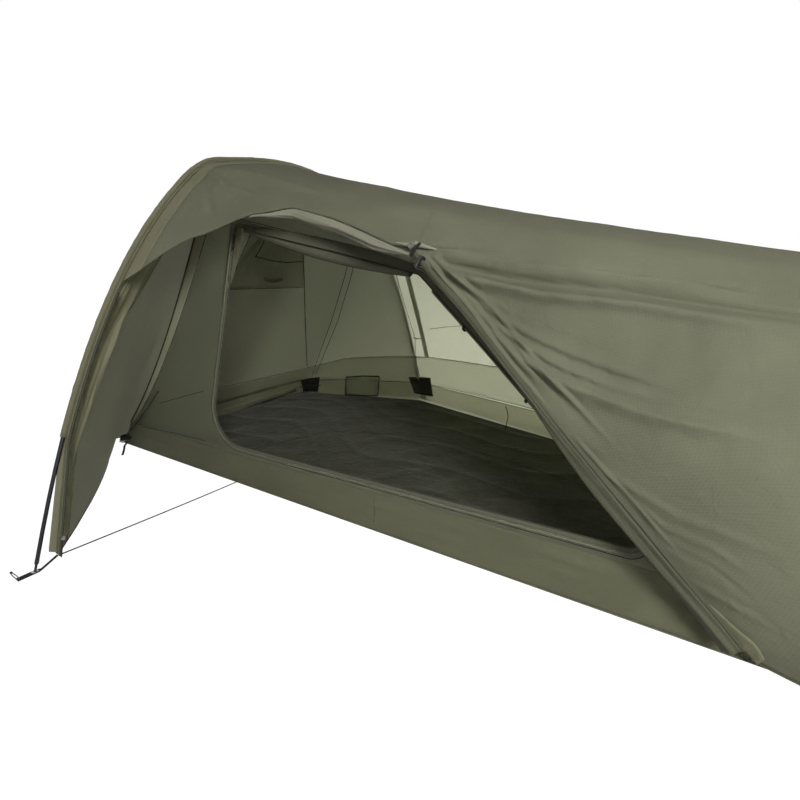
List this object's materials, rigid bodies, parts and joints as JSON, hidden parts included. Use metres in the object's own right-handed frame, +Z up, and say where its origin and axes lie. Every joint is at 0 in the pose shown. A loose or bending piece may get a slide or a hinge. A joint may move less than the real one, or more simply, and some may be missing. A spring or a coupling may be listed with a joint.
{
  "type": "lightweight tunnel tent",
  "caption": "Lightweight tunnel tent with one tall and one low pole hoop, a fly with a tied-back side door, and an inner tent with a bathtub floor and a rolled-back zip door.",
  "frame": {"origin": "on the groundsheet's underside, at ground level, below the middle of the tall pole hoop", "axes": "+X along the tent towards its low foot end, -Y towards the door and vestibule, +Z up"},
  "size_m": [2.3462, 1.837, 0.991],
  "materials": {
    "fly": "thin coated ripstop nylon, grey-olive, matt",
    "sleeve": "woven tape and sleeve cloth, tan-olive, matt",
    "inner": "thin uncoated nylon, dark olive, slightly see-through",
    "groundsheet": "coated nylon, dark olive, satin",
    "mesh": "light pocket cloth, grey",
    "black_metal": "black anodised aluminium tube",
    "light_metal": "bare turned aluminium, satin",
    "black_cord": "black elastic and zip tape, woven",
    "grey_cord": "braided cord, dark grey",
    "webbing": "black woven webbing",
    "black_plastic": "black moulded plastic"
  },
  "bodies": {
    "tent": {"bathtub_wall": "groundsheet", "fly_door_band": "black_cord", "fly_door_roll": "fly", "fly_door_top_fold": "fly", "fly_foot_end": "fly", "fly_head_end": "fly", "fly_head_far": "fly", "fly_head_near": "fly", "fly_roof_far": "fly", "fly_roof_near": "fly", "fly_side_near": "fly", "fly_zip_tape": "black_cord", "foot_pole_section_1": "black_metal", "foot_pole_section_2": "black_metal", "foot_pole_section_3": "black_metal", "foot_pole_section_4": "black_metal", "foot_pole_shock_cord": "grey_cord", "foot_pole_sleeve": "sleeve", "foot_pole_strap_far": "webbing", "foot_pole_strap_near": "webbing", "foot_pole_tip_far": "light_metal", "foot_pole_tip_near": "light_metal", "foot_sleeve_lining": "sleeve", "ground_cord": "grey_cord", "groundsheet": "groundsheet", "head_corner_buckle": "light_metal", "head_corner_patch": "webbing", "hoop_corner_patch": "webbing", "inner_door_side_roll": "inner", "inner_door_tie_1": "black_cord", "inner_door_tie_2": "black_cord", "inner_door_top_roll": "inner", "inner_door_zip_tape": "sleeve", "inner_far_gusset": "inner", "inner_far_wall": "inner", "inner_foot_wall": "inner", "inner_head_wall": "inner", "inner_near_wall": "inner", "inner_pocket": "mesh", "inner_roof": "inner", "main_eyelet_far": "light_metal", "main_eyelet_near": "light_metal", "main_foot_strap_far": "webbing", "main_foot_strap_near": "webbing", "main_pole_section_1": "black_metal", "main_pole_section_2": "black_metal", "main_pole_section_3": "black_metal", "main_pole_section_4": "black_metal", "main_pole_section_5": "black_metal", "main_pole_section_6": "black_metal", "main_pole_shock_cord": "grey_cord", "main_pole_sleeve": "sleeve", "main_pole_tip_far": "light_metal", "main_pole_tip_near": "light_metal", "main_sleeve_lining": "sleeve"},
    "inner_slider": {"inner_zip_slider": "black_plastic"},
    "inner_pull": {"inner_zip_pull": "black_cord"},
    "fly_slider": {"fly_zip_slider": "black_plastic"},
    "fly_pull": {"fly_zip_pull": "black_cord"},
    "toggle": {"fly_door_toggle": "black_plastic"}
  },
  "joints": [
    {"name": "inner_zip_run", "type": "slide", "parent": "tent", "child": "inner_slider", "axis": [-0.3018, -0.0213, -0.9531], "range_m": [0, 0.49]},
    {"name": "inner_pull_swing", "type": "hinge", "parent": "inner_slider", "child": "inner_pull", "pos_m": [0.0849, -0.34347, 0.74024], "axis": [-0.9534, 0, 0.3018], "range_deg": [0, 165]},
    {"name": "fly_zip_run", "type": "slide", "parent": "tent", "child": "fly_slider", "axis": [0, 0.23, 0.9732], "range_m": [-0.02, 0.21]},
    {"name": "fly_pull_swing", "type": "hinge", "parent": "fly_slider", "child": "fly_pull", "pos_m": [0.02167, -0.8331, 0.06485], "axis": [-1, 0, 0], "range_deg": [0, 165]},
    {"name": "toggle_turn", "type": "hinge", "parent": "tent", "child": "toggle", "pos_m": [0.66707, -0.37102, 0.65538], "axis": [0, -1, 0], "range_deg": [-75, 75]}
  ]
}
